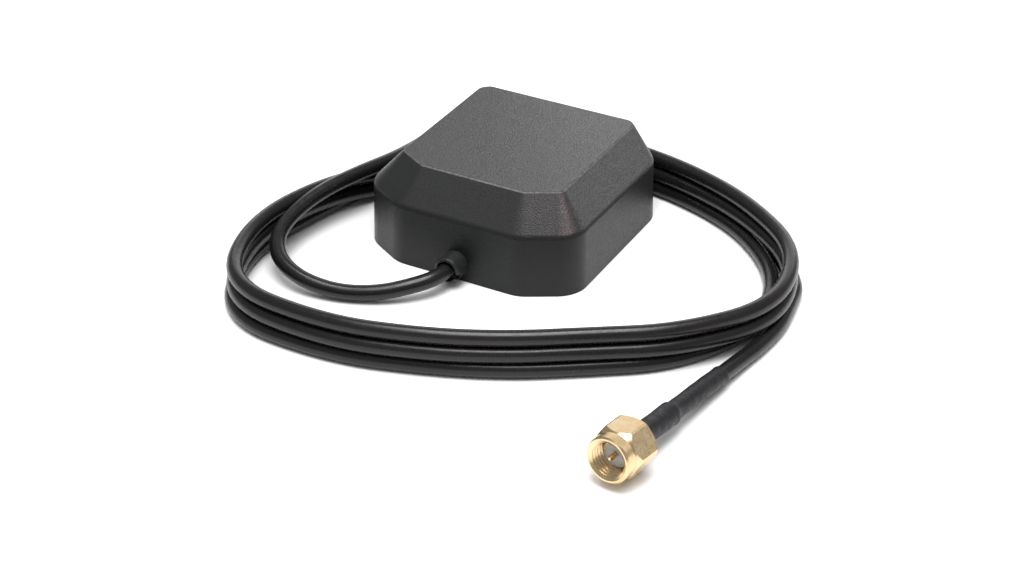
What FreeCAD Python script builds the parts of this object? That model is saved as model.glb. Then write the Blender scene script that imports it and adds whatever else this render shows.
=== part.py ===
import FreeCAD, Part
import math
import os

# Active GNSS patch antenna with a coiled RG-174 lead and an SMA plug, in millimetres.
# The origin is under the middle of the housing, on the surface that it stands on.
# +Z is up, the cable leaves through the wall that faces -Y.

Vector = FreeCAD.Vector
UP = Vector(0, 0, 1)

# ---- housing ----
base_half_x = 21.1            # half the width at the bottom rim
base_half_y = 22.2            # half the length at the bottom rim
base_front_cut = (9.0, 5.05)  # corner cuts of the lower wall, along X and along Y
base_back_cut = (7.7, 7.7)
shoulder_height = 11.5        # where the lower wall turns into the bevel
wall_draft = 0.2              # how far the lower wall leans in over its height
housing_height = 17.2
top_half_x = 15.9             # the flat top
top_half_y = 16.3
top_front_cut = (5.9, 3.3)    # corner cuts of the flat top, along X and along Y
top_back_cut = (1.2, 1.2)
rim_corner_radius = 6.0       # plan radius at each bend of the lower wall
top_corner_radius = 1.6
top_edge_fillet = 0.6
shoulder_fillet = 1.4

# ---- radome shell ----
skirt_wall = 1.4              # below the ledge
body_wall = 2.4               # above the ledge
bevel_wall = 2.0
roof_thickness = 1.8
inner_top_radius = 0.6
boss_radius = 2.2             # where it passes the gasket
boss_root_radius = 2.6        # above the ledge, where it joins the wall
boss_inset = 4.8              # boss centre from the inner face of the body wall
boss_height = 8.2
boss_rib_thickness = 1.2      # joins the boss to the side wall

# ---- base plate, pad, gasket, magnets ----
pad_thickness = 0.8
pad_half_x = 17.0
pad_half_y = 18.0
pad_corner_cut = 12.0
pad_corner_radius = 1.2
plate_thickness = 2.0
plate_clearance = 0.15        # all round, to the skirt
gasket_thickness = 0.8
gasket_clearance = 0.1
magnet_size = (20.0, 7.0, 2.5)
magnet_spacing = 14.0         # centre to centre along Y
magnet_clearance = 0.1
magnet_floor = 0.8            # plastic left under a magnet
trough_clearance = 0.2        # round the cable and the strain relief's flange

# ---- screws ----
screw_radius = 1.0
screw_head_radius = 1.9
screw_head_height = 0.9
screw_length = 6.0
screw_clearance = 0.15        # shank in the base plate
cross_slot_width = 0.44       # the driver's cross recess
cross_slot_length = 2.1
cross_slot_depth = 0.63

# ---- circuit board and patch ----
board_half = 15.0
board_corner_cut = 5.2
board_corner_radius = 0.5
board_thickness = 1.0
board_height = 8.9            # underside of the board
post_radius = 1.3
post_x = 13.3
post_y = 8.0
peg_radius = 0.5
peg_clearance = 0.1
peg_rise = 0.4                # above the board
adhesive_thickness = 0.25
film_thickness = 0.05         # fired silver electrodes
patch_side = 25.0
patch_thickness = 4.0
patch_edge_chamfer = 0.6
patch_electrode_side = 20.4
patch_electrode_cut = 0.3
patch_electrode_radius = 0.2
ground_electrode_side = 24.4
electrode_trim = 1.6          # corner cuts that make the patch circularly polarised
feed_offset_y = -2.0
feed_pin_radius = 0.45
feed_head_radius = 1.1
feed_head_height = 0.25
feed_head_fillet = 0.15
feed_clearance = 0.15
feed_tail = 0.4               # solder side, below the board
can_half = 11.0
can_height = 2.4
can_sheet = 0.2
can_corner_radius = 0.6
amplifier_size = (1.5, 1.5, 0.6)
amplifier_places = ((-3.2, 2.0), (3.4, 2.0))
filter_size = (1.4, 1.1, 0.5)
filter_places = ((0.0, 3.6), (6.6, 1.2))
passive_size = (1.0, 0.5, 0.5)
passive_pitch = 1.8
passive_row_starts = ((-6.4, -1.6), (2.2, -3.4))
passives_in_row = 4

# ---- cable ----
cable_radius = 1.4            # RG-174 jacket
dielectric_radius = 0.76
conductor_radius = 0.24
braid_radius = 0.98
cable_height = 3.4            # axis above the floor where it passes the wall
cable_joint_y = -22.7         # where the loose cable meets the stretch inside the housing
jacket_end_y = -17.5
braid_end_y = -16.3
core_bend_y = -16.0
core_bend_radius = 3.0
conductor_tail = 0.2          # solder side, above the board
pigtail_radius = 0.35         # the braid, twisted into a tail and soldered to the board
pigtail_spread = 0.4          # from beside the braid out to its solder land
pigtail_land_inset = 0.8      # solder land from the board's edge
pigtail_bend_rise = 2.2
pigtail_last_run = 2.0

# ---- strain relief ----
collar_radius = 2.4
collar_length = 3.5
collar_fillet = 0.45
collar_recess_radius = 1.9
collar_recess_depth = 1.0
collar_notch = (1.1, 1.2)     # width and depth
collar_notch_angle = -18.0    # seen from outside, from +X
neck_radius = 1.95
neck_clearance = 0.03
flange_radius = 2.7
flange_thickness = 1.0
flange_flat_height = 1.4

# ---- coil: three turns stacked round the housing, their line as radii round a centre ----
coil_centre = Vector(10.0, -14.0, 0)
coil_line_radii = (45.9, 46.4, 42.0, 37.2, 39.8, 45.4, 47.6, 41.2,
                   42.2, 50.6, 53.0, 43.9, 35.7, 32.1, 32.4, 38.8)
coil_levels = 3
coil_inner_room = 1.5         # from the line in to the coil's inner face
coil_outer_room = 2.5         # from the line out to its outer face
last_pass_stations = range(2, 7)  # where a fourth pass lies beside the lowest turn
lead_out_run = 6.2            # the cable's last run before the heat-shrink tube

# ---- SMA plug: distances along its axis start at the front face of the nut ----
plug_front = Vector(49.5, -63.3, 5.25)
plug_heading = 7.2            # of the cable behind it, from +Y towards +X
plug_pitch = 5.3              # how steeply the plug's rear slopes down
nut_spin = -11.0
nut_length = 7.6
nut_across_flats = 8.0
nut_corner_radius = 4.5       # the corners are turned down to this
nut_ring_length = 2.0
nut_ring_radius = 3.85
nut_ring_chamfer = 0.25
nut_bevel_length = 1.0        # along the axis, from the ring to the hexagon's corners
nut_rear_chamfer = (0.6, 0.5)  # along the radius and along the axis
nut_mouth_radius = 3.35
nut_mouth_depth = 0.35
thread_major_radius = 3.175   # 1/4-36 UNS
thread_minor_radius = 2.85
thread_pitch = 25.4 / 36
thread_start = 0.45
thread_turns = 5
nut_relief_chamfer = 0.2
nut_relief_end = 6.1
nut_back_bore_radius = 2.45
running_clearance = 0.05
nut_end_play = 0.06
sleeve_radius = 2.28
sleeve_bore_radius = 2.05
sleeve_front = 2.4
sleeve_chamfer = (0.1, 0.15)
insulator_wall = 0.6          # metal between the insulator and the retaining ring's groove
shoulder_radius = 3.05
shoulder_length = 0.55
stem_radius = 1.12
stem_bore_radius = 0.8
stem_end = 14.5
body_end = 8.2
ring_groove_depth = 0.35
ring_thickness = 0.4
ring_place = 6.6
ring_gap_angle = 30.0
seal_thickness = 0.7
pin_radius = 0.46
pin_front = 0.7
pin_tip_length = 0.5
pin_tip_radius = 0.22
pin_body_radius = 0.64
pin_body_start = 3.6
pin_end = 10.0
core_start = 8.6
ferrule_wall = 0.3
ferrule_clearance = 0.05      # between the cable and the ferrule's bore
ferrule_start = 8.3
ferrule_end = 16.9
jacket_start = 14.6
shrink_start = 7.8
shrink_wall = 0.18            # over the ferrule
shrink_cable_wall = 0.23      # over the cable, where it has shrunk further
shrink_step = 17.9
shrink_step_length = 0.7
shrink_end = 33.4

# ---- ways of working ----
overrun = 1.0                 # how far a cutting shape passes the face that it cuts
arc_share = 0.45              # of the shorter run beside a bend, taken by its arc

# ---- worked out from the sizes above ----
plate_top = pad_thickness + plate_thickness
ledge_height = plate_top + gasket_thickness
board_top = board_height + board_thickness
ground_film_bottom = board_top + adhesive_thickness
patch_bottom = ground_film_bottom + film_thickness
patch_top = patch_bottom + patch_thickness
can_bottom = board_height - can_height
boss_x = base_half_x - body_wall - boss_inset
boss_y = base_half_y - body_wall - boss_inset
coil_height = 2 * cable_radius * coil_levels
neck_body_radius = nut_back_bore_radius - running_clearance
ferrule_bore_radius = cable_radius + ferrule_clearance
ferrule_radius = ferrule_bore_radius + ferrule_wall
insulator_end = ring_place - insulator_wall


# ---- plain shapes ----
def box(half_x, half_y, low, high, centre_x=0.0, centre_y=0.0):
    corner = Vector(centre_x - half_x, centre_y - half_y, low)
    return Part.makeBox(2 * half_x, 2 * half_y, high - low, corner)


def post(radius, low, high, x=0.0, y=0.0):
    return Part.makeCylinder(radius, high - low, Vector(x, y, low), UP)


def rod_y(radius, start_y, end_y, x=0.0, z=cable_height):
    return Part.makeCylinder(radius, end_y - start_y, Vector(x, start_y, z), Vector(0, 1, 0))


def fuse_all(shapes):
    return shapes[0].multiFuse(shapes[1:]).removeSplitter() if len(shapes) > 1 else shapes[0]


def corner_arc(before, corner, after, radius):
    """The arc that rounds one corner, tangent to both of its runs."""
    to_before = (before - corner).normalize()
    to_after = (after - corner).normalize()
    half_turn = (math.pi - to_before.getAngle(to_after)) / 2
    reach = radius * math.tan(half_turn)
    start = corner + to_before * reach
    end = corner + to_after * reach
    bisector = (to_before + to_after).normalize()
    middle = corner + bisector * (radius / math.cos(half_turn) - radius)
    return Part.Arc(start, middle, end).toShape(), start, end


def closed_wire(corners, radii):
    """A closed outline of straight runs joined by tangent arcs."""
    count = len(corners)
    arcs = [corner_arc(corners[i - 1], corners[i], corners[(i + 1) % count], radii[i])
            for i in range(count)]
    edges = []
    for i, (arc, start, end) in enumerate(arcs):
        edges.append(arc)
        edges.append(Part.LineSegment(end, arcs[(i + 1) % count][1]).toShape())
    return Part.Wire(edges)


def largest_radius(corners, index):
    """The arc's share of the shorter run beside a corner, over the tangent of half the turn."""
    before, corner, after = corners[index - 1], corners[index], corners[(index + 1) % len(corners)]
    shorter = min((corner - before).Length, (after - corner).Length)
    half_turn = (corner - before).getAngle(after - corner) / 2
    return arc_share * shorter / math.tan(half_turn)


def octagon(half_x, half_y, front_cut, back_cut, radius, z):
    """Rectangle with cut corners and rounded bends; a cut is its legs along X and Y."""
    corners = [Vector(half_x - front_cut[0], -half_y, z), Vector(half_x, front_cut[1] - half_y, z),
               Vector(half_x, half_y - back_cut[1], z), Vector(half_x - back_cut[0], half_y, z),
               Vector(back_cut[0] - half_x, half_y, z), Vector(-half_x, half_y - back_cut[1], z),
               Vector(-half_x, front_cut[1] - half_y, z), Vector(front_cut[0] - half_x, -half_y, z)]
    return closed_wire(corners, [radius] * len(corners))


def inset_cut(cut, inset):
    """Legs of a corner cut after its outline is moved in by inset."""
    along_x, along_y = cut
    slant = math.hypot(along_x, along_y)
    return (along_x - inset * (1 + (along_x - slant) / along_y),
            along_y - inset * (1 + (along_y - slant) / along_x))


def rim_octagon(inset, z, lean=0.0):
    """The lower wall's outline, moved in by inset, at height z."""
    return octagon(base_half_x - inset - lean, base_half_y - inset - lean,
                   inset_cut(base_front_cut, inset), inset_cut(base_back_cut, inset),
                   rim_corner_radius - inset, z)


def top_octagon(inset, radius, z):
    """The flat top's outline; moved in, it keeps its corner cuts, which thickens the corners."""
    return octagon(top_half_x - inset, top_half_y - inset, top_front_cut, top_back_cut, radius, z)


def prism(wire, height):
    return Part.Face(wire).extrude(Vector(0, 0, height))


def loft(low_wire, high_wire):
    return Part.makeLoft([low_wire, high_wire], True, True)


def tube(points, radius, bore=0.0, name=None):
    """A round tube on straight runs joined by tangent arcs."""
    edges = []
    start = points[0]
    radii = []
    for i in range(1, len(points) - 1):
        radii.append(largest_radius(points, i))
        arc, arc_start, arc_end = corner_arc(points[i - 1], points[i], points[i + 1], radii[-1])
        edges += [Part.LineSegment(start, arc_start).toShape(), arc]
        start = arc_end
    edges.append(Part.LineSegment(start, points[-1]).toShape())
    path = Part.Wire(edges)
    solid = swept(path, points, radius)
    if bore:
        solid = solid.cut(swept(path, points, bore))
    if name:
        section = math.pi * (radius ** 2 - bore ** 2)
        print(name, "length %.1f" % path.Length, "bend radii", [round(r, 1) for r in radii],
              "volume over section x length %.5f" % (solid.Volume / (section * path.Length)))
    return solid


def swept(path, points, radius):
    ring = Part.Wire(Part.makeCircle(radius, points[0], points[1] - points[0]))
    return path.makePipeShell([ring], True, True)


# ---- housing pieces ----
def housing_solid():
    lower = loft(rim_octagon(0, 0), rim_octagon(0, shoulder_height, wall_draft))
    upper = loft(rim_octagon(0, shoulder_height, wall_draft),
                 top_octagon(0, top_corner_radius, housing_height))
    solid = lower.fuse(upper).removeSplitter()
    solid = solid.makeFillet(top_edge_fillet, loop_at(solid, housing_height))
    return solid.makeFillet(shoulder_fillet, loop_at(solid, shoulder_height))


def loop_at(solid, z):
    """The edges that lie level at height z."""
    return [edge for edge in solid.Edges
            if abs(edge.BoundBox.ZMin - z) < 1e-4 and abs(edge.BoundBox.ZMax - z) < 1e-4]


def boss_places():
    return [(x, y) for x in (-boss_x, boss_x) for y in (-boss_y, boss_y)]


def boss_rib(x, y):
    """From a boss's middle to half way through the side wall."""
    wall_middle_x = math.copysign(base_half_x - body_wall / 2, x)
    return box(abs(wall_middle_x - x) / 2, boss_rib_thickness / 2, ledge_height,
               plate_top + boss_height, (x + wall_middle_x) / 2, y)


def radome_cover():
    outer = housing_solid()
    skirt = prism(rim_octagon(skirt_wall, -overrun), ledge_height + overrun)
    body = loft(rim_octagon(body_wall, ledge_height),
                rim_octagon(body_wall, shoulder_height, wall_draft))
    roof = loft(rim_octagon(body_wall, shoulder_height, wall_draft),
                top_octagon(bevel_wall, inner_top_radius, housing_height - roof_thickness))
    shell = outer.cut(skirt).cut(body).cut(roof)
    for x, y in boss_places():
        root = post(boss_root_radius, ledge_height, plate_top + boss_height, x, y)
        root = root.fuse(boss_rib(x, y))
        shell = shell.fuse([post(boss_radius, plate_top, ledge_height, x, y), root.common(outer)])
    holes = [post(screw_radius, plate_top, pad_thickness + screw_length + overrun, x, y)
             for x, y in boss_places()]
    cable_hole = rod_y(neck_radius + neck_clearance, -base_half_y - overrun,
                       -base_half_y + body_wall + overrun)
    return shell.cut(holes).cut(cable_hole).removeSplitter()


def countersink(x, y):
    return Part.makeCone(screw_head_radius, screw_radius, screw_head_height,
                         Vector(x, y, pad_thickness), UP)


def magnet_places():
    return [-magnet_spacing / 2, magnet_spacing / 2]


def base_plate():
    plate = prism(rim_octagon(skirt_wall + plate_clearance, pad_thickness), plate_thickness)
    posts = []
    for x in (-post_x, post_x):
        for y in (-post_y, post_y):
            posts.append(post(post_radius, plate_top, board_height, x, y))
            posts.append(post(peg_radius, board_height, board_top + peg_rise, x, y))
    plate = fuse_all([plate] + posts)
    cuts = []
    for x, y in boss_places():
        cuts += [countersink(x, y), post(screw_radius + screw_clearance, 0, plate_top + overrun, x, y)]
    pocket_floor = pad_thickness + magnet_floor
    for y in magnet_places():
        cuts.append(box(magnet_size[0] / 2 + magnet_clearance, magnet_size[1] / 2 + magnet_clearance,
                        pocket_floor, plate_top + overrun, 0, y))
    flange_back_y = -base_half_y + body_wall + wall_draft + flange_thickness
    flange_room = flange_radius + trough_clearance
    cuts.append(Part.makeBox(2 * flange_room, base_half_y + flange_back_y + trough_clearance,
                             plate_top, Vector(-flange_room, -base_half_y,
                                               flange_flat_height - trough_clearance)))
    trough = cable_radius + trough_clearance
    trough_end_y = core_bend_y + core_bend_radius + trough
    cuts.append(Part.makeBox(2 * trough, trough_end_y + base_half_y, plate_top,
                             Vector(-trough, -base_half_y, cable_height - trough)))
    return plate.cut(cuts).removeSplitter()


def base_gasket():
    outer = prism(rim_octagon(skirt_wall + gasket_clearance, plate_top), gasket_thickness)
    inner = prism(rim_octagon(body_wall - gasket_clearance, plate_top - overrun),
                  gasket_thickness + 2 * overrun)
    cable_gap = rod_y(neck_radius + gasket_clearance, -base_half_y, -base_half_y + 2 * body_wall)
    return outer.cut(inner).cut(cable_gap)


def rubber_pad():
    cut = (pad_corner_cut, pad_corner_cut)
    return prism(octagon(pad_half_x, pad_half_y, cut, cut, pad_corner_radius, 0), pad_thickness)


def magnets():
    low = pad_thickness + magnet_floor
    return [box(magnet_size[0] / 2, magnet_size[1] / 2, low, low + magnet_size[2], 0, y)
            for y in magnet_places()]


def screws():
    """Flat-head screws with a cross recess, from below into the cover's bosses."""
    solids = []
    for x, y in boss_places():
        screw = fuse_all([countersink(x, y),
                          post(screw_radius, pad_thickness, pad_thickness + screw_length, x, y)])
        recess_top = pad_thickness + cross_slot_depth
        for length, width in ((cross_slot_length, cross_slot_width), (cross_slot_width, cross_slot_length)):
            screw = screw.cut(box(length / 2, width / 2, 0, recess_top, x, y))
        solids.append(screw)
    return solids


# ---- electronics ----
def lna_board():
    cut = (board_corner_cut, board_corner_cut)
    board = prism(octagon(board_half, board_half, cut, cut, board_corner_radius, board_height),
                  board_thickness)
    holes = [post(peg_radius + peg_clearance, 0, housing_height, x, y)
             for x in (-post_x, post_x) for y in (-post_y, post_y)]
    holes.append(post(feed_pin_radius, 0, housing_height, 0, feed_offset_y))
    holes.append(post(conductor_radius, 0, housing_height, 0, core_bend_y + core_bend_radius))
    return board.cut(holes)


def patch_electrode():
    outline = octagon(patch_electrode_side / 2, patch_electrode_side / 2,
                      (patch_electrode_cut, patch_electrode_cut), (electrode_trim, electrode_trim),
                      patch_electrode_radius, patch_top)
    return prism(outline, film_thickness).cut(post(feed_pin_radius, 0, housing_height, 0, feed_offset_y))


def ground_electrode():
    film = box(ground_electrode_side / 2, ground_electrode_side / 2, ground_film_bottom, patch_bottom)
    return film.cut(post(feed_head_radius, 0, housing_height, 0, feed_offset_y))


def adhesive_pad():
    pad = box(patch_side / 2, patch_side / 2, board_top, ground_film_bottom)
    return pad.cut(post(feed_head_radius, 0, housing_height, 0, feed_offset_y))


def ceramic_patch():
    block = box(patch_side / 2, patch_side / 2, patch_bottom, patch_top)
    edges = [edge for edge in block.Edges if abs(edge.BoundBox.ZLength - patch_thickness) < 1e-6]
    block = block.makeChamfer(patch_edge_chamfer, edges)
    return block.cut(post(feed_pin_radius + feed_clearance, 0, housing_height, 0, feed_offset_y))


def feed_pin():
    head_bottom = patch_top + film_thickness
    shank = post(feed_pin_radius, board_height - feed_tail, head_bottom, 0, feed_offset_y)
    head = post(feed_head_radius, head_bottom, head_bottom + feed_head_height, 0, feed_offset_y)
    head = head.makeFillet(feed_head_fillet, [loop_at(head, head_bottom + feed_head_height)[0]])
    return fuse_all([shank, head])


def shield_can():
    outer = box(can_half, can_half, can_bottom, board_height)
    upright = [edge for edge in outer.Edges if abs(edge.BoundBox.ZLength - can_height) < 1e-6]
    outer = outer.makeFillet(can_corner_radius, upright)
    inner = box(can_half - can_sheet, can_half - can_sheet, can_bottom + can_sheet,
                board_height + overrun)
    return outer.cut(inner)


def under_board(places, size):
    """Components soldered to the underside of the board."""
    return [box(size[0] / 2, size[1] / 2, board_height - size[2], board_height, x, y)
            for x, y in places]


def amplifier_chips():
    return under_board(amplifier_places, amplifier_size)


def saw_filters():
    return under_board(filter_places, filter_size)


def chip_passives():
    places = [(start_x + passive_pitch * i, y)
              for start_x, y in passive_row_starts for i in range(passives_in_row)]
    return under_board(places, passive_size)


def core_path(end_z):
    """The coax core: in through the wall, then up to the board."""
    return [Vector(0, jacket_end_y, cable_height),
            Vector(0, core_bend_y + core_bend_radius, cable_height),
            Vector(0, core_bend_y + core_bend_radius, end_z)]


def coax_dielectric():
    return tube(core_path(board_height), dielectric_radius, conductor_radius)


def coax_conductor():
    return tube(core_path(board_top + conductor_tail), conductor_radius)


def coax_braid():
    sleeve = rod_y(braid_radius, jacket_end_y, braid_end_y)
    sleeve = sleeve.cut(rod_y(dielectric_radius, jacket_end_y - overrun, braid_end_y + overrun))
    middle_y = (jacket_end_y + braid_end_y) / 2
    land_x = braid_radius + pigtail_radius + pigtail_spread
    land_y = -board_half + pigtail_land_inset
    tail_path = [Vector(braid_radius + pigtail_radius / 2, middle_y, cable_height),
                 Vector(land_x, middle_y, cable_height + pigtail_bend_rise),
                 Vector(land_x, land_y, board_height - pigtail_last_run),
                 Vector(land_x, land_y, board_height)]
    return fuse_all([sleeve, tube(tail_path, pigtail_radius)])


def cable_entry():
    jacket = rod_y(cable_radius, cable_joint_y, jacket_end_y)
    return jacket.cut(rod_y(dielectric_radius, jacket_end_y - overrun, jacket_end_y))


def strain_relief():
    wall_y = -base_half_y
    inner_wall_y = wall_y + body_wall + wall_draft
    collar = rod_y(collar_radius, wall_y - collar_length, wall_y)
    rim = [edge for edge in collar.Edges
           if edge.BoundBox.YLength < 1e-6 and abs(edge.BoundBox.YMin - wall_y + collar_length) < 1e-6]
    collar = collar.makeFillet(collar_fillet, rim)
    neck = rod_y(neck_radius, wall_y, inner_wall_y)
    flange = rod_y(flange_radius, inner_wall_y, inner_wall_y + flange_thickness)
    flange = flange.cut(box(flange_radius + overrun, base_half_y, -overrun, flange_flat_height))
    relief = fuse_all([collar, neck, flange])
    bore = rod_y(cable_radius, wall_y - collar_length - overrun, 0)
    recess = rod_y(collar_recess_radius, wall_y - collar_length - overrun,
                   wall_y - collar_length + collar_recess_depth)
    notch = Part.makeBox(collar_radius + overrun, collar_notch[1] + overrun, collar_notch[0],
                         Vector(0, wall_y - collar_length - overrun, cable_height - collar_notch[0] / 2))
    notch.rotate(Vector(0, 0, cable_height), Vector(0, 1, 0), -collar_notch_angle)
    return relief.cut([bore, recess, notch])


# ---- the loose cable ----
def lead_in_route():
    """From inside the strain relief, over the floor and up on to the coil behind the housing."""
    return [Vector(0, cable_joint_y, cable_height), Vector(0, -27.4, cable_height),
            Vector(-3.0, -31.4, 2.8), Vector(-8.0, -35.2, 1.8), Vector(-14.4, -37.8, 1.5),
            Vector(-21.4, -38.8, 2.6), Vector(-27.2, -37.0, 4.1), Vector(-30.6, -32.2, 5.5),
            Vector(-31.2, -25.6, 6.7), Vector(-30.0, -18.0, 7.5), Vector(-27.6, -10.0, 8.0),
            Vector(-25.0, -2.2, 8.0), Vector(-23.8, 5.8, 7.8), Vector(-23.7, 13.8, 7.5),
            Vector(-20.8, 21.2, 7.2)]


def lead_out_route():
    """From under the coil at the right to the rear end of the heat-shrink tube."""
    shrink_rear = plug_point(shrink_end)
    return [Vector(53.4, 3.0, cable_radius), Vector(55.3, -3.8, cable_radius),
            Vector(56.1, -11.0, cable_radius), Vector(55.5, -18.0, cable_radius),
            plug_point(shrink_end + lead_out_run), shrink_rear]


def coil_ring(rooms):
    """The coil's line, moved out at each station by its room (in, if it is negative)."""
    step = 2 * math.pi / len(coil_line_radii)
    corners = [coil_centre + Vector((radius + room) * math.cos(i * step),
                                    (radius + room) * math.sin(i * step), 0)
               for i, (radius, room) in enumerate(zip(coil_line_radii, rooms))]
    return closed_wire(corners, [largest_radius(corners, i) for i in range(len(corners))])


def cable_coil():
    stations = range(len(coil_line_radii))
    outer_rooms = [coil_outer_room + (2 * cable_radius if i in last_pass_stations else 0)
                   for i in stations]
    outer = prism(coil_ring(outer_rooms), coil_height)
    return outer.cut(prism(coil_ring([-coil_inner_room for i in stations]), coil_height))


# ---- SMA plug, built along Z and then laid in its place ----
def plug_rear_direction():
    heading = math.radians(plug_heading)
    pitch = math.radians(plug_pitch)
    return Vector(math.sin(heading) * math.cos(pitch), math.cos(heading) * math.cos(pitch),
                  -math.sin(pitch))


def plug_point(distance):
    return plug_front + plug_rear_direction() * distance


def in_place(shape, spin=0.0):
    """Move a shape built along Z to the plug's axis, turned by spin about it."""
    tilt = FreeCAD.Rotation(Vector(0, 0, 1), plug_rear_direction())
    roll = FreeCAD.Rotation(Vector(0, 0, 1), spin)
    placed = shape.copy()
    placed.Placement = FreeCAD.Placement(plug_front, tilt.multiply(roll))
    return placed


def turned(profile):
    """A solid of revolution about Z from its (radius, distance) outline."""
    points = [Vector(radius, 0, distance) for radius, distance in profile]
    face = Part.Face(Part.makePolygon(points + points[:1]))
    return face.revolve(Vector(0, 0, 0), UP, 360)


def nut_outline():
    ring_end = nut_ring_length
    return turned([(0, 0), (nut_ring_radius - nut_ring_chamfer, 0),
                   (nut_ring_radius, nut_ring_chamfer), (nut_ring_radius, ring_end),
                   (nut_corner_radius, ring_end + nut_bevel_length),
                   (nut_corner_radius, nut_length - nut_rear_chamfer[1]),
                   (nut_corner_radius - nut_rear_chamfer[0], nut_length), (0, nut_length)])


def nut_bore():
    """Thread grooves, relief, retaining groove and back bore in one outline."""
    depth = thread_major_radius - thread_minor_radius
    crest = thread_pitch / 8
    profile = [(0, -overrun), (nut_mouth_radius, -overrun), (nut_mouth_radius, 0),
               (thread_minor_radius, nut_mouth_depth)]
    flank = (thread_pitch - 2 * crest) / 2
    for i in range(thread_turns):
        start = thread_start + i * thread_pitch
        profile += [(thread_minor_radius, start), (thread_minor_radius + depth, start + flank),
                    (thread_minor_radius + depth, start + flank + crest),
                    (thread_minor_radius, start + 2 * flank + crest)]
    relief_start = thread_start + thread_turns * thread_pitch
    relief_radius = shoulder_radius + 2 * running_clearance
    groove_radius = nut_back_bore_radius + ring_groove_depth + running_clearance
    profile += [(thread_minor_radius, relief_start), (relief_radius, relief_start + nut_relief_chamfer),
                (relief_radius, nut_relief_end), (nut_back_bore_radius, nut_relief_end),
                (nut_back_bore_radius, ring_place - nut_end_play),
                (groove_radius, ring_place - nut_end_play),
                (groove_radius, ring_place + ring_thickness + nut_end_play),
                (nut_back_bore_radius, ring_place + ring_thickness + nut_end_play),
                (nut_back_bore_radius, nut_length + overrun), (0, nut_length + overrun)]
    return turned(profile)


def coupling_nut():
    corners = [Vector(nut_across_flats / math.sqrt(3) * math.cos(math.radians(60 * i)),
                      nut_across_flats / math.sqrt(3) * math.sin(math.radians(60 * i)), 0)
               for i in range(6)]
    hexagon = Part.Face(Part.makePolygon(corners + corners[:1])).extrude(Vector(0, 0, nut_length))
    return in_place(hexagon.common(nut_outline()).cut(nut_bore()), nut_spin)


def plug_body():
    shoulder_end = nut_relief_end - nut_end_play
    shoulder_start = shoulder_end - shoulder_length
    neck = neck_body_radius
    groove = neck - ring_groove_depth
    return in_place(turned([
        (sleeve_bore_radius, sleeve_front), (sleeve_radius - sleeve_chamfer[0], sleeve_front),
        (sleeve_radius, sleeve_front + sleeve_chamfer[1]), (sleeve_radius, shoulder_start),
        (shoulder_radius, shoulder_start), (shoulder_radius, shoulder_end), (neck, shoulder_end),
        (neck, ring_place), (groove, ring_place), (groove, ring_place + ring_thickness),
        (neck, ring_place + ring_thickness), (neck, nut_length), (ferrule_radius, nut_length),
        (ferrule_radius, body_end), (stem_radius, body_end), (stem_radius, stem_end),
        (stem_bore_radius, stem_end), (stem_bore_radius, insulator_end),
        (sleeve_bore_radius, insulator_end)]))


def retaining_ring():
    inner = neck_body_radius - ring_groove_depth
    outer = nut_back_bore_radius + ring_groove_depth
    ring = turned([(inner, ring_place), (outer, ring_place), (outer, ring_place + ring_thickness),
                   (inner, ring_place + ring_thickness)])
    gap = 2 * outer * math.sin(math.radians(ring_gap_angle / 2))
    return in_place(ring.cut(Part.makeBox(outer + overrun, gap, nut_length, Vector(0, -gap / 2, 0))))


def plug_seal():
    end = nut_relief_end - nut_end_play - shoulder_length
    return in_place(turned([(sleeve_radius, end - seal_thickness), (shoulder_radius, end - seal_thickness),
                            (shoulder_radius, end), (sleeve_radius, end)]))


def plug_insulator():
    return in_place(turned([
        (pin_radius, sleeve_front), (sleeve_bore_radius, sleeve_front),
        (sleeve_bore_radius, insulator_end), (pin_body_radius, insulator_end),
        (pin_body_radius, pin_body_start), (pin_radius, pin_body_start)]))


def plug_pin():
    return in_place(turned([
        (0, pin_front), (pin_tip_radius, pin_front), (pin_radius, pin_front + pin_tip_length),
        (pin_radius, pin_body_start), (pin_body_radius, pin_body_start), (pin_body_radius, pin_end),
        (conductor_radius, pin_end), (conductor_radius, core_start), (0, core_start)]))


def core_end():
    """Dielectric and conductor of the cable's end, inside the plug's stem."""
    return in_place(turned([
        (0, core_start), (conductor_radius, core_start), (conductor_radius, pin_end),
        (dielectric_radius, pin_end), (dielectric_radius, jacket_start), (0, jacket_start)]))


def crimp_ferrule():
    """A hex-crimped sleeve over the braid and the stem."""
    sleeve = turned([(ferrule_bore_radius, ferrule_start), (ferrule_radius, ferrule_start),
                     (ferrule_radius, ferrule_end), (ferrule_bore_radius, ferrule_end)])
    return in_place(sleeve)


def braid_end():
    """Braid flared over the stem, under the ferrule."""
    return in_place(turned([(stem_radius, ferrule_start), (ferrule_bore_radius, ferrule_start),
                            (ferrule_bore_radius, stem_end), (stem_radius, stem_end)]))


def cable_end():
    """The straight end of the jacket, under the heat-shrink tube."""
    return in_place(turned([(0, jacket_start), (cable_radius, jacket_start),
                            (cable_radius, shrink_end), (0, shrink_end)]))


def heat_shrink():
    wide = ferrule_radius + shrink_wall
    narrow = cable_radius + shrink_cable_wall
    step_end = shrink_step + shrink_step_length
    return in_place(turned([
        (ferrule_radius, shrink_start), (wide, shrink_start), (wide, shrink_step),
        (narrow, step_end), (narrow, shrink_end), (cable_radius, shrink_end),
        (cable_radius, ferrule_end), (ferrule_radius, ferrule_end)]))


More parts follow.
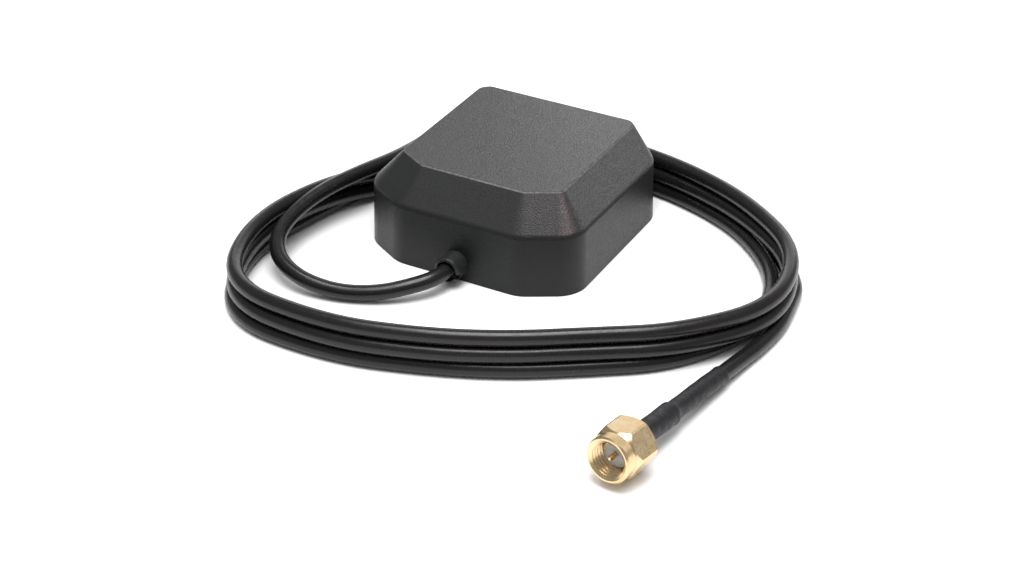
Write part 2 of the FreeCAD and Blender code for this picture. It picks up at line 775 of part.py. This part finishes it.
def nodes():
    """Every piece by its node name; a list is one node of several like solids."""
    return {
        "radome_cover": radome_cover(),
        "base_plate": base_plate(),
        "base_gasket": base_gasket(),
        "rubber_pad": rubber_pad(),
        "magnets": magnets(),
        "base_screws": screws(),
        "ceramic_patch": ceramic_patch(),
        "patch_electrode": patch_electrode(),
        "ground_electrode": ground_electrode(),
        "adhesive_pad": adhesive_pad(),
        "feed_pin": feed_pin(),
        "lna_board": lna_board(),
        "shield_can": shield_can(),
        "amplifier_chips": amplifier_chips(),
        "saw_filters": saw_filters(),
        "chip_passives": chip_passives(),
        "coax_dielectric": coax_dielectric(),
        "coax_conductor": coax_conductor(),
        "coax_braid": coax_braid(),
        "cable_entry": cable_entry(),
        "strain_relief": strain_relief(),
        "cable_lead_in": tube(lead_in_route(), cable_radius, name="cable_lead_in"),
        "cable_coil": cable_coil(),
        "cable_lead_out": tube(lead_out_route(), cable_radius, name="cable_lead_out"),
        "cable_end": cable_end(),
        "heat_shrink": heat_shrink(),
        "crimp_ferrule": crimp_ferrule(),
        "braid_end": braid_end(),
        "core_end": core_end(),
        "plug_body": plug_body(),
        "coupling_nut": coupling_nut(),
        "retaining_ring": retaining_ring(),
        "plug_seal": plug_seal(),
        "plug_insulator": plug_insulator(),
        "plug_pin": plug_pin(),
    }


def main():
    os.makedirs("parts", exist_ok=True)
    for name, shape in nodes().items():
        if isinstance(shape, list):
            shape = Part.makeCompound(shape)
        shape.exportStep("parts/%s.step" % name)
        size = shape.BoundBox
        print("%-18s solids %d valid %s volume %.1f  x %.1f..%.1f y %.1f..%.1f z %.2f..%.2f" % (
            name, len(shape.Solids), shape.isValid(), shape.Volume, size.XMin, size.XMax,
            size.YMin, size.YMax, size.ZMin, size.ZMax))


main()
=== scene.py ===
"""Looks of the active GNSS patch antenna: its cable, heat-shrink sleeve, materials, floor and light.

Lengths are in metres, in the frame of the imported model, unless a name ends in _MM.
"""
import math

import bmesh
import bpy
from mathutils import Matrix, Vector, noise


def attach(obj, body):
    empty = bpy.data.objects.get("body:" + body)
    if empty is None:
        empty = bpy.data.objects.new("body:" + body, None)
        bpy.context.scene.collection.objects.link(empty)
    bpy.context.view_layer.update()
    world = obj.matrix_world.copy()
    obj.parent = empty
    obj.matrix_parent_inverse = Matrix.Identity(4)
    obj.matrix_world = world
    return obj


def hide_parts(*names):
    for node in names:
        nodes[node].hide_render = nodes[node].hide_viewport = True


MM = 0.001
NOISE_RANGE = (0.3, 0.7)      # where most of a noise texture's values lie
BAND_SOFTNESS = 0.2           # share of a band's height over which it starts or ends

# ---- cable: the route follows the CAD model's, in millimetres here and scaled below ----
CABLE_RADIUS_MM = 1.4
LEAD_IN_MM = [
    (0, -22.7, 3.4), (0, -27.4, 3.4), (-3.0, -31.4, 2.8), (-8.0, -35.2, 1.8), (-14.4, -37.8, 1.5),
    (-21.4, -38.8, 2.6), (-27.2, -37.0, 4.1), (-30.6, -32.2, 5.5), (-31.2, -25.6, 6.7),
    (-29.8, -18.0, 7.8), (-27.1, -10.0, 8.2), (-24.6, -2.2, 7.9), (-23.6, 5.8, 7.4),
    (-23.4, 13.2, 7.1), (-21.0, 19.2, 7.0),
]
LEAD_OUT_MM = [(54.9, -3.8, 1.4), (56.0, -11.0, 1.4), (55.5, -18.0, 1.4)]
COIL_CENTRE_MM = (10.0, -14.0)
# radii of the top turn's line round that centre, every 22.5 degrees from +X towards +Y
TOP_TURN_RADII_MM = (46.3, 46.5, 41.4, 38.3, 38.0, 46.0, 44.8, 38.3,
                     41.5, 49.4, 53.6, 43.3, 35.5, 32.2, 32.3, 38.3)
COIL_TOP_MM = 7.0             # axis height of the top turn
COIL_TURNS = 3
TURN_DROP_MM = 2.8
LEAN_MM = (0.2, -0.55)        # how far each lower turn is shifted
FIRST_STATION = 5             # where the lead-in joins the coil, behind the housing
DROP_STATION = 7              # under the lead-in, where a turn gives way to the one below
# where the lowest turn strays: it leans out at the left and makes room for the last pass, in millimetres
LOWEST_TURN_SHIFTS_MM = {4: 0.2, 3: 0.3, 2: -0.2, 1: -3.0, 0: -3.8, 15: -0.9, 14: -0.3, 13: -0.4,
                         12: -0.9, 11: -0.8, 10: 0.2, 9: 0.9, 8: 1.5}
# how far outside the top turn's line the last pass runs, on the way to the lead-out, in millimetres
LAST_PASS_SHIFTS_MM = {7: 3.2, 6: 3.0, 5: 3.0, 4: 3.2, 3: 3.5, 2: 3.2, 1: 0.3}
STRAIGHT_RUN_MM = 6.2         # straight cable behind the sleeve
TUCK_MM = 0.6                 # how far the cable's line runs into the sleeve

# ---- plug ----
PLUG_FRONT_MM = Vector((49.5, -63.3, 5.25))
PLUG_HEADING = math.radians(7.2)
PLUG_PITCH = math.radians(5.3)
SHRINK_START_MM = 7.8
SHRINK_STEP_MM = 17.9
SHRINK_END_MM = 33.4
FERRULE_RADIUS_MM = 1.93      # outside of the sleeve over the ferrule
NARROW_RADIUS_MM = 1.63       # outside of the sleeve over the cable
SLEEVE_WALL_MM = 0.2
SLEEVE_GRIP_MM = 0.05         # how far the sleeve's bore bites into the cable
LIP_DROP_MM = 0.14            # how far the rolled front lip turns in
WOBBLE_MM = 0.05              # unevenness of the shrunk surface
WOBBLE_WAVES = (1.1, 0.45)    # its waves round the sleeve, and along each millimetre of it

# ---- housing ----
TOP_EDGE_MM = (17.0, 17.196)  # heights of the rounded edge of the flat top

# ---- stage: a light reaches one kind of piece, or everything where that is None ----
FLOOR_SIZE = 6.0
FLOOR_GAP = 0.0001
WORLD_STRENGTH = 0.33
# name: (place, target, (width, height), watts, kind of piece)
LIGHTS = {
    "overhead": ((0.12, -0.2, 1.0), (0, 0, 0), (0.5, 0.5), 8.5, None),
    "housing_top": ((-0.38, 0.78, 0.57), (0, 0, 0), (0.6, 0.22), 2.3, "housing"),
    "top_glow": ((-0.032, 0.109, 0.073), (0.012, 0.012, 0.017), (0.03, 0.02), 0.012, "housing"),
    "front_bevel": ((-0.42, -0.62, 0.66), (0, 0, 0), (0.4, 0.4), 0.9, "housing"),
    "right_bevel": ((0.135, 0.149, 0.085), (0.018, 0, 0.014), (0.1, 0.06), 0.13, "housing"),
    "edge_strip": ((-0.4, 0.1, 0.9), (0, 0, 0), (0.1, 0.2), 6.0, "housing"),
    "corner_glow": ((0.58, -0.06, 0.78), (0, 0, 0), (0.1, 0.1), 7.0, "housing"),
    "cable_line": ((-0.05, 0.08, 1.0), (0, -0.04, 0), (0.45, 0.07), 4.0, "cables"),
    "cable_back": ((-0.3, 0.8, 0.3), (0, 0, 0), (1.0, 0.5), 2.6, "cables"),
    "floor_wash": ((0.0, 0.0, 1.6), (0, 0, 0), (2.5, 2.5), 34.0, "floor"),
    "metal_back": ((0.0, 0.85, 0.38), (0, 0, 0), (1.8, 0.6), 3.0, "metal"),
}
LIGHT_COLOURS = {"corner_glow": (1.0, 0.76, 0.8)}

# ---- camera ----
CAMERA_TARGET = Vector((0.0130, -0.0265, 0.0050))
CAMERA_AZIMUTH = math.radians(28.62)
CAMERA_ELEVATION = math.radians(32.07)
CAMERA_DISTANCE = 0.350
CAMERA_LENS_MM = 72.9


# ---- shapes ----
def plug_rear_direction():
    return Vector((math.sin(PLUG_HEADING) * math.cos(PLUG_PITCH),
                   math.cos(PLUG_HEADING) * math.cos(PLUG_PITCH), -math.sin(PLUG_PITCH)))


def plug_point_mm(distance):
    return PLUG_FRONT_MM + plug_rear_direction() * distance


def coil_point_mm(station, level, shift):
    """A point of the coil: level 0 is the top turn, and shift is radial."""
    angle = 2 * math.pi * station / len(TOP_TURN_RADII_MM)
    radius = TOP_TURN_RADII_MM[station] + shift
    return (COIL_CENTRE_MM[0] + radius * math.cos(angle) + level * LEAN_MM[0],
            COIL_CENTRE_MM[1] + radius * math.sin(angle) + level * LEAN_MM[1],
            COIL_TOP_MM - level * TURN_DROP_MM)


def coil_route_mm():
    """The turns, each one cable lower than the last, then the last pass outside them."""
    points = []
    count = len(TOP_TURN_RADII_MM)
    lowest = COIL_TURNS - 1
    station = FIRST_STATION
    level = 0
    while level < COIL_TURNS:
        shift = LOWEST_TURN_SHIFTS_MM.get(station, 0) if level == lowest else 0
        points.append(coil_point_mm(station, level, shift))
        station = (station - 1) % count
        if station == DROP_STATION:
            level += 1
    points += [coil_point_mm(place, lowest, shift) for place, shift in LAST_PASS_SHIFTS_MM.items()]
    return points


def cable_route():
    ends = [plug_point_mm(SHRINK_END_MM + STRAIGHT_RUN_MM), plug_point_mm(SHRINK_END_MM - TUCK_MM)]
    route = LEAD_IN_MM + coil_route_mm() + LEAD_OUT_MM + ends
    return [Vector(point) * MM for point in route]


def smooth_line(name, points):
    """An open NURBS curve object with these control points."""
    curve = bpy.data.curves.new(name, "CURVE")
    curve.dimensions = "3D"
    spline = curve.splines.new("NURBS")
    spline.points.add(len(points) - 1)
    for control, point in zip(spline.points, points):
        control.co = (*point, 1.0)
    spline.order_u = 3
    spline.use_endpoint_u = True
    spline.resolution_u = 10
    piece = bpy.data.objects.new(name, curve)
    bpy.context.scene.collection.objects.link(piece)
    return piece


def make_cable():
    cable = smooth_line("coax_cable", cable_route())
    cable.data.bevel_depth = CABLE_RADIUS_MM * MM
    cable.data.bevel_resolution = 8
    cable.data.use_fill_caps = True
    return cable


def shrink_profile():
    """(distance, radius) of the sleeve's outside in mm: rolled lip, ferrule, step, cable, thin rear rim."""
    start, step, end = SHRINK_START_MM, SHRINK_STEP_MM, SHRINK_END_MM
    wide, narrow = FERRULE_RADIUS_MM, NARROW_RADIUS_MM
    return [(start, wide - LIP_DROP_MM), (start + 0.06, wide - 0.04), (start + 0.25, wide),
            (start + 2.5, wide + 0.02), (start + 5.0, wide - 0.02), (step - 2.2, wide),
            (step - 0.9, wide + 0.02), (step - 0.35, wide + 0.07), (step, wide + 0.05),
            (step + 0.3, wide - 0.06), (step + 0.65, narrow + 0.1), (step + 1.3, narrow + 0.02),
            (step + 3.5, narrow), (end - 4.0, narrow + 0.03), (end - 1.5, narrow),
            (end - 0.25, narrow + 0.02), (end - 0.05, narrow - 0.03), (end, narrow - 0.1),
            (end, CABLE_RADIUS_MM - SLEEVE_GRIP_MM)]


def lathe(name, profile, axis_start, axis, sides, wobble):
    """A turned mesh from (distance, radius) points in mm, with a gentle unevenness of wobble mm."""
    across = axis.orthogonal().normalized()
    other = axis.cross(across)
    mesh = bmesh.new()
    rings = []
    for distance, radius in profile:
        ring = []
        for side in range(sides):
            angle = 2 * math.pi * side / sides
            outward = across * math.cos(angle) + other * math.sin(angle)
            uneven = wobble * noise.noise(outward * WOBBLE_WAVES[0] + axis * distance * WOBBLE_WAVES[1])
            ring.append(mesh.verts.new((axis_start + axis * distance + outward * (radius + uneven)) * MM))
        rings.append(ring)
    for ring, following in zip(rings, rings[1:]):
        for side in range(sides):
            after = (side + 1) % sides
            mesh.faces.new((ring[side], following[side], following[after], ring[after]))
    bmesh.ops.recalc_face_normals(mesh, faces=mesh.faces)
    data = bpy.data.meshes.new(name)
    mesh.to_mesh(data)
    mesh.free()
    data.shade_smooth()
    piece = bpy.data.objects.new(name, data)
    bpy.context.scene.collection.objects.link(piece)
    return piece


def refined(profile, step):
    """The profile with extra points, so that no run along the axis is longer than step mm."""
    points = [profile[0]]
    for (d0, r0), (d1, r1) in zip(profile, profile[1:]):
        parts = max(1, math.ceil((d1 - d0) / step))
        points += [(d0 + (d1 - d0) * i / parts, r0 + (r1 - r0) * i / parts) for i in range(1, parts + 1)]
    return points


def make_shrink_sleeve():
    """The outside's profile, then back along the bore to the front lip."""
    narrow_bore = CABLE_RADIUS_MM - SLEEVE_GRIP_MM
    wide_bore = FERRULE_RADIUS_MM - SLEEVE_WALL_MM
    bore = [(SHRINK_STEP_MM + 0.6, narrow_bore), (SHRINK_STEP_MM - 1.0, wide_bore),
            (SHRINK_START_MM, wide_bore), (SHRINK_START_MM, FERRULE_RADIUS_MM - LIP_DROP_MM)]
    outside = refined(shrink_profile(), 0.35)
    return lathe("shrink_sleeve", outside + bore, PLUG_FRONT_MM, plug_rear_direction(), 64, WOBBLE_MM)


# ---- materials ----
class Surface:
    """A procedural material on the Principled shader, with helpers that add nodes to it."""

    def __init__(self, name, colour, roughness, metallic=0.0, gloss=0.5):
        self.material = bpy.data.materials.new(name)
        self.material.use_nodes = True
        self.nodes = self.material.node_tree.nodes
        self.links = self.material.node_tree.links
        self.shader = self.nodes["Principled BSDF"]
        self.shader.inputs["Base Color"].default_value = (*colour, 1.0)
        self.shader.inputs["Roughness"].default_value = roughness
        self.shader.inputs["Metallic"].default_value = metallic
        self.shader.inputs["Specular IOR Level"].default_value = gloss
        self.place = self.nodes.new("ShaderNodeTexCoord").outputs["Object"]
        self.bump_out = None

    def noise(self, size, detail=3.0, roughness=0.5, stretch=None):
        """Noise whose features are about size metres across."""
        node = self.nodes.new("ShaderNodeTexNoise")
        node.inputs["Scale"].default_value = 1.0 / size
        node.inputs["Detail"].default_value = detail
        node.inputs["Roughness"].default_value = roughness
        self.links.new(self.stretched(stretch) if stretch else self.place, node.inputs["Vector"])
        return node.outputs["Fac"]

    def stretched(self, factors):
        mapping = self.nodes.new("ShaderNodeMapping")
        mapping.inputs["Scale"].default_value = factors
        self.links.new(self.place, mapping.inputs["Vector"])
        return mapping.outputs["Vector"]

    def cells(self, size):
        """Distance from the centres of cells about size metres across."""
        node = self.nodes.new("ShaderNodeTexVoronoi")
        node.inputs["Scale"].default_value = 1.0 / size
        self.links.new(self.place, node.inputs["Vector"])
        return node.outputs["Distance"]

    def ramp(self, value, low, high):
        """A noise value spread over low..high."""
        node = self.nodes.new("ShaderNodeMapRange")
        node.inputs["From Min"].default_value, node.inputs["From Max"].default_value = NOISE_RANGE
        node.inputs["To Min"].default_value = low
        node.inputs["To Max"].default_value = high
        self.links.new(value, node.inputs["Value"])
        return node.outputs["Result"]

    def height_band(self, heights_mm):
        """1 between two heights and 0 outside them, with a soft start and end."""
        low, high = (height * MM for height in heights_mm)
        axes = self.nodes.new("ShaderNodeSeparateXYZ")
        self.links.new(self.place, axes.inputs["Vector"])
        soft = (high - low) * BAND_SOFTNESS
        height = axes.outputs["Z"]
        return self.times(self.rise(height, low, low + soft), self.rise(height, high, high - soft))

    def rise(self, value, zero_at, one_at):
        """0 up to one height and 1 from the other, straight between them."""
        node = self.nodes.new("ShaderNodeMapRange")
        node.inputs["From Min"].default_value = zero_at
        node.inputs["From Max"].default_value = one_at
        self.links.new(value, node.inputs["Value"])
        return node.outputs["Result"]

    def times(self, first, second):
        node = self.nodes.new("ShaderNodeMath")
        node.operation = "MULTIPLY"
        self.links.new(first, node.inputs[0])
        self.links.new(second, node.inputs[1])
        return node.outputs["Value"]

    def blend_colours(self, value, first, second):
        node = self.nodes.new("ShaderNodeMix")
        node.data_type = "RGBA"
        node.inputs["A"].default_value = (*first, 1.0)
        node.inputs["B"].default_value = (*second, 1.0)
        self.links.new(value, node.inputs["Factor"])
        self.links.new(node.outputs["Result"], self.shader.inputs["Base Color"])

    def vary_roughness(self, value, low, high):
        self.links.new(self.ramp(value, low, high), self.shader.inputs["Roughness"])

    def bump(self, height, depth):
        """Adds relief of depth metres on top of any bump already there."""
        node = self.nodes.new("ShaderNodeBump")
        node.inputs["Strength"].default_value = 1.0
        node.inputs["Distance"].default_value = depth
        self.links.new(height, node.inputs["Height"])
        if self.bump_out:
            self.links.new(self.bump_out, node.inputs["Normal"])
        self.bump_out = node.outputs["Normal"]
        self.links.new(self.bump_out, self.shader.inputs["Normal"])


def housing_plastic():
    """Black moulded plastic with a fine spark-eroded grain, and a painted highlight line along the rounded
    edge of the top.
    """
    surface = Surface("housing_plastic", (0.011, 0.012, 0.012), 0.36, gloss=0.24)
    # painted highlight: a lighter, speckled band on the top's rounded edge stands in for the light line
    # that edge catches
    painted_edge_highlight = surface.times(surface.height_band(TOP_EDGE_MM), surface.ramp(surface.noise(0.0005), 0.2, 1.0))
    surface.blend_colours(painted_edge_highlight, (0.011, 0.012, 0.012), (0.09, 0.09, 0.088))
    surface.vary_roughness(surface.noise(0.0004, 3.0), 0.28, 0.44)
    surface.bump(surface.noise(0.00022, 2.0, 0.6), 0.00005)
    surface.bump(surface.cells(0.00026), 0.00002)
    return surface.material


def base_plastic():
    surface = Surface("base_plastic", (0.022, 0.022, 0.024), 0.5)
    surface.vary_roughness(surface.noise(0.002), 0.42, 0.58)
    surface.bump(surface.noise(0.0004), 0.00003)
    return surface.material


def foot_rubber():
    surface = Surface("foot_rubber", (0.018, 0.018, 0.02), 0.8)
    surface.vary_roughness(surface.noise(0.003), 0.7, 0.9)
    surface.bump(surface.noise(0.0006, 4.0), 0.00006)
    return surface.material


def relief_rubber():
    surface = Surface("relief_rubber", (0.016, 0.017, 0.017), 0.45, gloss=0.35)
    surface.vary_roughness(surface.noise(0.0006), 0.36, 0.6)
    surface.bump(surface.noise(0.0005, 4.0), 0.00006)
    return surface.material


def cable_jacket():
    """Semi-gloss PVC: faint colour drift, drawing marks and small dimples."""
    surface = Surface("cable_jacket", (0.008, 0.008, 0.008), 0.24, gloss=0.36)
    drift = surface.noise(0.018, 2.0)
    surface.blend_colours(surface.ramp(drift, 0.0, 1.0), (0.007, 0.007, 0.008), (0.013, 0.011, 0.011))
    surface.vary_roughness(surface.noise(0.0012, 3.0), 0.24, 0.34)
    surface.bump(surface.noise(0.0007, 2.0), 0.000004)
    surface.bump(surface.noise(0.006, 1.0), 0.00004)
    return surface.material


def shrink_tube():
    """Dull heat-shrink sleeve with fine specks and wrinkles round it."""
    surface = Surface("shrink_tube", (0.014, 0.013, 0.015), 0.45, gloss=0.3)
    specks = surface.noise(0.0004, 5.0, 0.7)
    surface.blend_colours(surface.ramp(specks, 0.0, 1.0), (0.007, 0.006, 0.008), (0.022, 0.02, 0.023))
    surface.vary_roughness(surface.noise(0.0009, 4.0), 0.38, 0.6)
    surface.bump(surface.noise(0.0005, 4.0, 0.65), 0.00006)
    surface.bump(surface.noise(0.0025, 2.0), 0.00025)
    return surface.material


def gold_plate():
    """Pale satin gold with fine turning marks and soft stains."""
    surface = Surface("gold_plate", (0.78, 0.58, 0.33), 0.32, 1.0)
    stains = surface.noise(0.003, 4.0)
    surface.blend_colours(surface.ramp(stains, 0.0, 1.0), (0.72, 0.51, 0.26), (0.82, 0.65, 0.41))
    surface.vary_roughness(surface.noise(0.0008, 3.0), 0.24, 0.33)
    surface.bump(surface.noise(0.0002, 1.0, 0.5, (1.0, 4.0, 1.0)), 0.000004)
    return surface.material


def ptfe():
    surface = Surface("ptfe", (0.5, 0.49, 0.44), 0.4)
    surface.vary_roughness(surface.noise(0.0006), 0.32, 0.5)
    surface.bump(surface.noise(0.0003), 0.00001)
    surface.shader.inputs["Subsurface Weight"].default_value = 0.1
    surface.shader.inputs["Subsurface Scale"].default_value = 0.0005
    return surface.material


def silicone():
    surface = Surface("silicone", (0.42, 0.07, 0.04), 0.5)
    surface.vary_roughness(surface.noise(0.0008), 0.42, 0.6)
    return surface.material


def plain_metal(name, colour, roughness, grain):
    surface = Surface(name, colour, roughness, 1.0)
    surface.vary_roughness(surface.noise(grain * 4), roughness - 0.06, roughness + 0.1)
    surface.bump(surface.noise(grain, 3.0), grain * 0.05)
    return surface.material


def plain_solid(name, colour, roughness, grain):
    surface = Surface(name, colour, roughness)
    lighter = tuple(channel * 1.15 for channel in colour)
    surface.blend_colours(surface.ramp(surface.noise(grain * 5), 0.0, 1.0), colour, lighter)
    surface.vary_roughness(surface.noise(grain * 2), roughness - 0.06, roughness + 0.08)
    surface.bump(surface.noise(grain, 3.0), grain * 0.04)
    return surface.material


def assign_materials(nodes):
    """Every CAD node takes a finished material. Returns those of the cable and the sleeve."""
    silver = plain_metal("silver_film", (0.8, 0.8, 0.77), 0.35, 0.0002)
    steel = plain_metal("plated_steel", (0.6, 0.6, 0.6), 0.3, 0.0003)
    tin = plain_metal("bright_tin", (0.7, 0.69, 0.66), 0.25, 0.0003)
    copper = plain_metal("copper", (0.8, 0.45, 0.27), 0.3, 0.0002)
    gold = gold_plate()
    jacket = cable_jacket()
    shrink = shrink_tube()
    dielectric = plain_solid("polyethylene", (0.75, 0.75, 0.7), 0.35, 0.0004)
    chip = plain_solid("chip_plastic", (0.03, 0.03, 0.03), 0.5, 0.0002)
    finishes = {
        housing_plastic(): ["radome_cover"],
        base_plastic(): ["base_plate"],
        foot_rubber(): ["rubber_pad"],
        plain_solid("gasket_rubber", (0.09, 0.09, 0.1), 0.6, 0.0004): ["base_gasket"],
        relief_rubber(): ["strain_relief"],
        jacket: ["cable_entry", "cable_end"],
        shrink: ["heat_shrink"],
        gold: ["plug_body", "coupling_nut", "retaining_ring", "plug_pin", "crimp_ferrule"],
        ptfe(): ["plug_insulator"],
        silicone(): ["plug_seal"],
        tin: ["magnets", "feed_pin", "coax_braid", "braid_end", "shield_can"],
        steel: ["base_screws"],
        silver: ["patch_electrode", "ground_electrode"],
        plain_solid("ceramic", (0.7, 0.62, 0.48), 0.5, 0.0004): ["ceramic_patch"],
        plain_solid("foam_tape", (0.7, 0.7, 0.66), 0.8, 0.0003): ["adhesive_pad"],
        plain_solid("board_laminate", (0.02, 0.16, 0.06), 0.35, 0.0005): ["lna_board"],
        chip: ["amplifier_chips"],
        plain_solid("passive_ceramic", (0.5, 0.4, 0.28), 0.5, 0.0002): ["saw_filters", "chip_passives"],
        dielectric: ["coax_dielectric", "core_end"],
        copper: ["coax_conductor"],
    }
    for material, names in finishes.items():
        for name in names:
            set_material(nodes[name], material)
    return jacket, shrink


def set_material(piece, material):
    """Fills every slot, so that all faces show this material."""
    slots = piece.data.materials
    if not slots:
        slots.append(material)
    for index in range(len(slots)):
        slots[index] = material


# ---- stage ----
def make_floor():
    bpy.ops.mesh.primitive_plane_add(size=FLOOR_SIZE, location=(0, 0, -FLOOR_GAP))
    floor = bpy.context.object
    floor.name = "floor"
    surface = Surface("floor_paint", (0.9, 0.9, 0.9), 0.7)
    surface.blend_colours(surface.noise(0.5), (0.89, 0.89, 0.89), (0.91, 0.91, 0.91))
    floor.data.materials.append(surface.material)
    return floor


def area_light(name, place, target, size, watts, pieces):
    """A soft light, for everything or only for some pieces."""
    data = bpy.data.lights.new(name, "AREA")
    data.shape = "RECTANGLE"
    data.size, data.size_y = size
    data.energy = watts
    data.color = LIGHT_COLOURS.get(name, (1.0, 1.0, 1.0))
    lamp = bpy.data.objects.new(name, data)
    lamp.location = place
    lamp.rotation_euler = (Vector(target) - Vector(place)).to_track_quat("-Z", "Y").to_euler()
    lamp.visible_camera = False
    bpy.context.scene.collection.objects.link(lamp)
    if pieces:
        receivers = bpy.data.collections.new(name + "_receivers")
        for piece in pieces:
            receivers.objects.link(piece)
        lamp.light_linking.receiver_collection = receivers


def make_lights(lit_pieces):
    """A softbox overhead in dim white surroundings, and lights that each shape one kind of surface."""
    for name, (place, target, size, watts, kind) in LIGHTS.items():
        area_light(name, place, target, size, watts, lit_pieces.get(kind, ()))
    world = bpy.data.worlds.new("studio")
    world.use_nodes = True
    background = world.node_tree.nodes["Background"]
    background.inputs["Color"].default_value = (1.0, 1.0, 1.0, 1.0)
    background.inputs["Strength"].default_value = WORLD_STRENGTH
    bpy.context.scene.world = world


def make_camera():
    back = Vector((math.sin(CAMERA_AZIMUTH) * math.cos(CAMERA_ELEVATION),
                   -math.cos(CAMERA_AZIMUTH) * math.cos(CAMERA_ELEVATION), math.sin(CAMERA_ELEVATION)))
    data = bpy.data.cameras.new("camera")
    data.sensor_width = 36.0
    data.lens = CAMERA_LENS_MM
    data.clip_start = 0.01
    data.clip_end = 20.0
    camera = bpy.data.objects.new("camera", data)
    camera.location = CAMERA_TARGET + back * CAMERA_DISTANCE
    camera.rotation_euler = (-back).to_track_quat("-Z", "Y").to_euler()
    bpy.context.scene.collection.objects.link(camera)
    bpy.context.scene.camera = camera


# ---- the scene ----
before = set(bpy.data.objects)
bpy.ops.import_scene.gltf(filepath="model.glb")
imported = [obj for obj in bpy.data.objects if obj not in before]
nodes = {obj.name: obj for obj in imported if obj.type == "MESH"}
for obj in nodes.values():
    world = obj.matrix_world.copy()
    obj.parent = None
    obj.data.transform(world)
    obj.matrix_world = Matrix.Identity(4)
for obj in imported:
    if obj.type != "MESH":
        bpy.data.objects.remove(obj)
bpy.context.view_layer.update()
bpy.context.scene.view_settings.view_transform = "Standard"
make_camera()
stage_floor = make_floor()
jacket_material, sleeve_material = assign_materials(nodes)

cable = make_cable()
cable.data.materials.append(jacket_material)
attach(cable, "antenna")
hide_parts("cable_lead_in", "cable_coil", "cable_lead_out")

sleeve = make_shrink_sleeve()
sleeve.data.materials.append(sleeve_material)
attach(sleeve, "antenna")
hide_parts("heat_shrink")

make_lights({
    "floor": [stage_floor],
    "housing": [nodes["radome_cover"]],
    "cables": [cable, sleeve, nodes["cable_end"], nodes["cable_entry"], nodes["strain_relief"]],
    "metal": [nodes[name] for name in ("coupling_nut", "plug_body", "plug_insulator", "plug_pin")]})
